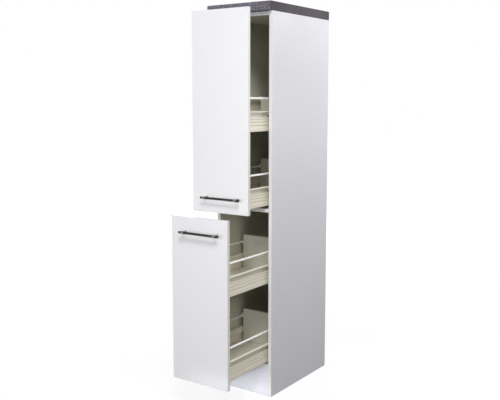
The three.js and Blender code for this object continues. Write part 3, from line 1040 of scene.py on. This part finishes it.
# %% Handles
RING_RADIUS = 6.3
POST_INSET = 20
RING = [(4.9, -6), (5.9, -6), (6.2, -5.7), (6.3, -5.2), (6.3, 5.2), (6.2, 5.7), (5.9, 6), (4.9, 6)]
BAR_END = [(0, 0), (3.6, 0), (4.3, 0.25), (4.8, 0.8), (5, 1.6)]
POST = [(0, 0), (5.8, 0), (6, 0.3), (6, 2.2), (5.5, 2.9), (4.4, 3.3), (4, 4.2), (4, 21)]


def make_handle(name):
    low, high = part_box(name + "_handle")
    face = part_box(name + "_front")[0].y
    axis_y = low.y + RING_RADIUS * MM
    axis_z = (low.z + high.z) / 2
    length = (high.x - low.x) / MM
    body = name + "_pullout"

    bar = bmesh.new()
    far_end = [(radius, length - along) for radius, along in reversed(BAR_END)]
    turn(bar, millimetres(BAR_END + far_end), (low.x, axis_y, axis_z), (1, 0, 0), sides=48)
    bar = mesh_of(name + " bar", bar, dark_steel)
    piece(name + "_handle_bar", bar, body, stands_for=[name + "_handle"])

    posts = bmesh.new()
    for x in (low.x + POST_INSET * MM, high.x - POST_INSET * MM):
        turn(posts, millimetres(RING), (x, axis_y, axis_z), (1, 0, 0), sides=48)
        turn(posts, millimetres(POST), (x, face - 0.3 * MM, axis_z), (0, -1, 0), sides=40)
    posts = mesh_of(name + " posts", posts, satin_nickel)
    piece(name + "_handle_posts", posts, body)
    print(name, "handle:", round(length), "mm long at height", round(axis_z, 3), "m")


make_handle("upper")
make_handle("lower")

# %% [markdown]
# ## Screws
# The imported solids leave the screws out. One pan head with a cross recess is cut once,
# by taking a tapered cross from a turned dome, and then set wherever the real unit has a
# screw. All screws that move together are one piece.


# %% One screw head
SCREW_DOME = [(0, -0.4), (3.4, -0.4), (3.5, 0.2), (3.3, 0.9), (2.6, 1.5), (1.5, 1.8), (0, 1.9)]


def screw_head():
    dome = bmesh.new()
    turn(dome, millimetres(SCREW_DOME), (0, 0, 0), (0, 0, 1), sides=24)
    dome = mesh_of("dome", dome, zinc)
    cross = bmesh.new()
    for x, y in ((1.9, 0.4), (0.4, 1.9)):
        block(cross, (-x * MM, -y * MM, 0.6 * MM), (x * MM, y * MM, 3 * MM), corner=0, ease=0)
    cross = mesh_of("cross", cross, zinc)
    solid = bpy.data.objects.new("dome", dome)
    cutter = bpy.data.objects.new("cross", cross)
    for scratch in (solid, cutter):
        scene.collection.objects.link(scratch)
    cut = solid.modifiers.new("recess", "BOOLEAN")
    cut.object = cutter
    cut.operation = "DIFFERENCE"
    cut.use_self = True
    bpy.context.view_layer.update()
    evaluated = solid.evaluated_get(bpy.context.evaluated_depsgraph_get())
    made = bpy.data.meshes.new_from_object(evaluated)
    for scratch in (solid, cutter):
        bpy.data.objects.remove(scratch)
    return made


head = screw_head()


def set_screws(name, body, places):
    bm = bmesh.new()
    for at, direction in places:
        one = head.copy()
        turned = Vector((0, 0, 1)).rotation_difference(Vector(direction))
        one.transform(Matrix.Translation(at) @ turned.to_matrix().to_4x4())
        bm.from_mesh(one)
        bpy.data.meshes.remove(one)
    mesh = bpy.data.meshes.new(name)
    bm.to_mesh(mesh)
    bm.free()
    mesh.materials.append(zinc)
    shade(mesh)
    piece(name, mesh, body)
    return len(places)


# %% Set the screws
TAB_SCREW_HEIGHTS = (32, 68)
FRONT_TAB_SCREW_X, FRONT_TAB_SCREW_Y = 110.5, 1.5
REAR_TAB_SCREW_X = 106
HOLDER_SCREW_X, HOLDER_SCREW_Y = 123.3, 472
BASE_SCREW_X, BASE_SCREW_YS = 118, (60, 240, 420)
RUNNER_SCREW_X, RUNNER_SCREW_YS, RUNNER_SCREW_HEIGHT = 132.5, (60, 250, 440), 71.6


def drawer_screws(number):
    at = drawer_place(number)
    places = []
    for hand in HANDS.values():
        point = scaled(hand)
        for z in TAB_SCREW_HEIGHTS:
            places.append((at + point(FRONT_TAB_SCREW_X, FRONT_TAB_SCREW_Y, z), (0, 1, 0)))
            places.append((at + point(REAR_TAB_SCREW_X, SIDE_END, z), (0, 1, 0)))
        places.append((at + point(HOLDER_SCREW_X, HOLDER_SCREW_Y, RAIL_HEIGHT), (hand, 0, 0)))
        places += [(at + point(BASE_SCREW_X, y, 0), (0, 0, -1)) for y in BASE_SCREW_YS]
    return places


def runner_screws(number):
    at = runner_place(number)
    places = []
    for hand in HANDS.values():
        for y in RUNNER_SCREW_YS:
            point = scaled(hand)(RUNNER_SCREW_X, y, RUNNER_SCREW_HEIGHT)
            places.append((at + point, (-hand, 0, 0)))
    return places


def handle_screws(name):
    low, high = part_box(name + "_handle")
    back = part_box(name + "_front")[1].y
    posts = (low.x + POST_INSET * MM, high.x - POST_INSET * MM)
    return [(Vector((x, back, (low.z + high.z) / 2)), (0, 1, 0)) for x in posts]


count = 0
for name, numbers in (("upper", (1, 2)), ("lower", (3, 4))):
    body = name + "_pullout"
    places = [place_of for number in numbers for place_of in drawer_screws(number)]
    count += set_screws(name + "_drawer_screws", body, places)
    count += set_screws(name + "_handle_screws", body, handle_screws(name))
places = [place_of for number in DRAWERS for place_of in runner_screws(number)]
count += set_screws("runner_screws", "carcass", places)
print("screws set:", count)
